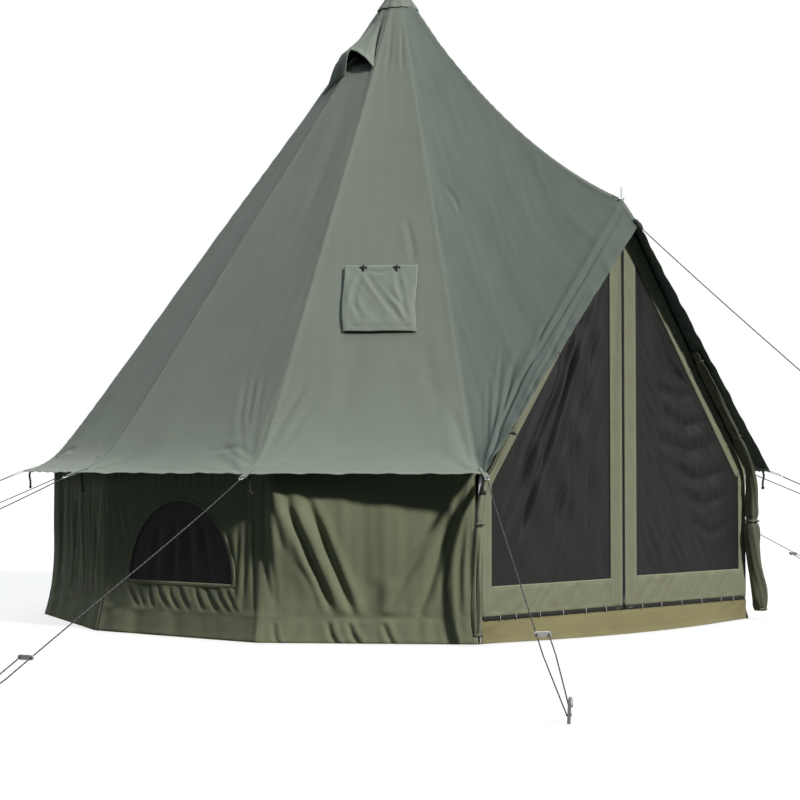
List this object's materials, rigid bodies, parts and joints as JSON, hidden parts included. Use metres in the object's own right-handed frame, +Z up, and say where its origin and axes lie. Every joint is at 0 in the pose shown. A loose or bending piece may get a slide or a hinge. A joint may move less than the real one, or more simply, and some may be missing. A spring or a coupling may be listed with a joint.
{
  "type": "bell tent",
  "caption": "Canvas bell tent on a centre pole, with low walls, a mesh double door under a small hood, windows, a stove flap, a groundsheet and pegged guy ropes.",
  "frame": {"origin": "on the ground under the centre pole, at the underside of the groundsheet", "axes": "+Z up the centre pole, -Y out through the door, +X to the right of someone who looks at the door from outside"},
  "size_m": [6.1927, 5.2025, 2.7475],
  "materials": {
    "canvas": "matte grey-green cotton canvas",
    "door_canvas": "matte khaki cotton canvas",
    "mesh": "black insect mesh",
    "groundsheet": "tan coated groundsheet, slightly glossy",
    "silicone": "dark heat-proof coated cloth",
    "zip": "dark painted zinc",
    "rubber": "matte black rubber",
    "steel": "galvanised steel tube",
    "rope": "black and white flecked braid, with steel pegs",
    "runner": "white plastic"
  },
  "bodies": {
    "tent": {"roof_front_left": "canvas", "roof_front_right": "canvas", "roof_left_front": "canvas", "roof_left_rear": "canvas", "roof_rear": "canvas", "roof_right_rear": "canvas", "roof_right_front": "canvas", "roof_cap": "canvas", "vent_hood": "canvas", "wall_left_front": "canvas", "wall_left_rear": "canvas", "wall_rear": "canvas", "wall_right_rear": "canvas", "wall_right_front": "canvas", "window_mesh_left": "mesh", "window_mesh_right": "mesh", "window_mesh_rear_left": "mesh", "window_mesh_rear_right": "mesh", "vent_mesh": "mesh", "stove_jack": "silicone", "groundsheet": "groundsheet", "door_sill": "groundsheet", "door_side_left": "door_canvas", "door_side_mesh_left": "mesh", "rolled_door_left": "door_canvas", "door_side_right": "door_canvas", "door_side_mesh_right": "mesh", "rolled_door_right": "door_canvas", "centre_pole_foot": "rubber", "centre_pole_lower": "steel", "centre_pole_upper": "steel", "centre_pole_head": "rubber", "door_frame_left": "steel", "door_frame_right": "steel", "door_frame_peak": "steel", "guy_rope_front": "rope", "guy_rope_left_30": "rope", "guy_rope_left_60": "rope", "guy_rope_left_90": "rope", "guy_rope_left_120": "rope", "guy_rope_right_30": "rope", "guy_rope_right_60": "rope", "guy_rope_right_90": "rope", "guy_rope_left_150": "rope"},
    "door_flap_left": {"door_flap_left": "door_canvas", "door_mesh_left": "mesh"},
    "door_flap_right": {"door_flap_right": "door_canvas", "door_mesh_right": "mesh"},
    "zip_slider_centre": {"zip_slider_centre": "zip"},
    "zip_slider_left": {"zip_slider_left": "zip"},
    "zip_slider_right": {"zip_slider_right": "zip"},
    "stove_flap": {"stove_flap": "canvas"},
    "guy_runner_front": {"guy_runner_front": "runner"},
    "guy_runner_left_30": {"guy_runner_left_30": "runner"},
    "guy_runner_left_60": {"guy_runner_left_60": "runner"},
    "guy_runner_left_90": {"guy_runner_left_90": "runner"},
    "guy_runner_left_120": {"guy_runner_left_120": "runner"},
    "guy_runner_right_30": {"guy_runner_right_30": "runner"},
    "guy_runner_right_60": {"guy_runner_right_60": "runner"},
    "guy_runner_right_90": {"guy_runner_right_90": "runner"}
  },
  "joints": [
    {"name": "door_flap_left_hinge", "type": "hinge", "parent": "tent", "child": "door_flap_left", "pos_m": [-0.3675, -1.3, 0.8], "axis": [-0.4648, 0, -0.8854], "range_deg": [0, 110]},
    {"name": "door_flap_right_hinge", "type": "hinge", "parent": "tent", "child": "door_flap_right", "pos_m": [0.3675, -1.3, 0.8], "axis": [-0.4648, 0, 0.8854], "range_deg": [0, 110]},
    {"name": "zip_slider_centre_slide", "type": "slide", "parent": "door_flap_left", "child": "zip_slider_centre", "axis": [0, 0, 1], "range_m": [0, 1.3]},
    {"name": "zip_slider_left_slide", "type": "slide", "parent": "tent", "child": "zip_slider_left", "axis": [-1, 0, 0], "range_m": [0, 0.64]},
    {"name": "zip_slider_right_slide", "type": "slide", "parent": "tent", "child": "zip_slider_right", "axis": [1, 0, 0], "range_m": [0, 0.64]},
    {"name": "stove_flap_hinge", "type": "hinge", "parent": "tent", "child": "stove_flap", "pos_m": [-0.64571, -0.64571, 1.38713], "axis": [-0.7071, 0.7071, 0], "range_deg": [0, 150]},
    {"name": "guy_runner_front_slide", "type": "slide", "parent": "tent", "child": "guy_runner_front", "axis": [0.007, -0.7871, -0.6167], "range_m": [0, 0.12]},
    {"name": "guy_runner_left_30_slide", "type": "slide", "parent": "tent", "child": "guy_runner_left_30", "axis": [-0.5745, -0.753, -0.3208], "range_m": [0, 0.12]},
    {"name": "guy_runner_left_60_slide", "type": "slide", "parent": "tent", "child": "guy_runner_left_60", "axis": [-0.8196, -0.4695, -0.3284], "range_m": [0, 0.12]},
    {"name": "guy_runner_left_90_slide", "type": "slide", "parent": "tent", "child": "guy_runner_left_90", "axis": [-0.9235, 0.0294, -0.3825], "range_m": [0, 0.12]},
    {"name": "guy_runner_left_120_slide", "type": "slide", "parent": "tent", "child": "guy_runner_left_120", "axis": [-0.8097, 0.4584, -0.3662], "range_m": [0, 0.12]},
    {"name": "guy_runner_right_30_slide", "type": "slide", "parent": "tent", "child": "guy_runner_right_30", "axis": [0.4747, -0.7914, -0.3851], "range_m": [0, 0.12]},
    {"name": "guy_runner_right_60_slide", "type": "slide", "parent": "tent", "child": "guy_runner_right_60", "axis": [0.8051, -0.4753, -0.3547], "range_m": [0, 0.12]},
    {"name": "guy_runner_right_90_slide", "type": "slide", "parent": "tent", "child": "guy_runner_right_90", "axis": [0.9369, -0.0106, -0.3494], "range_m": [0, 0.12]}
  ]
}
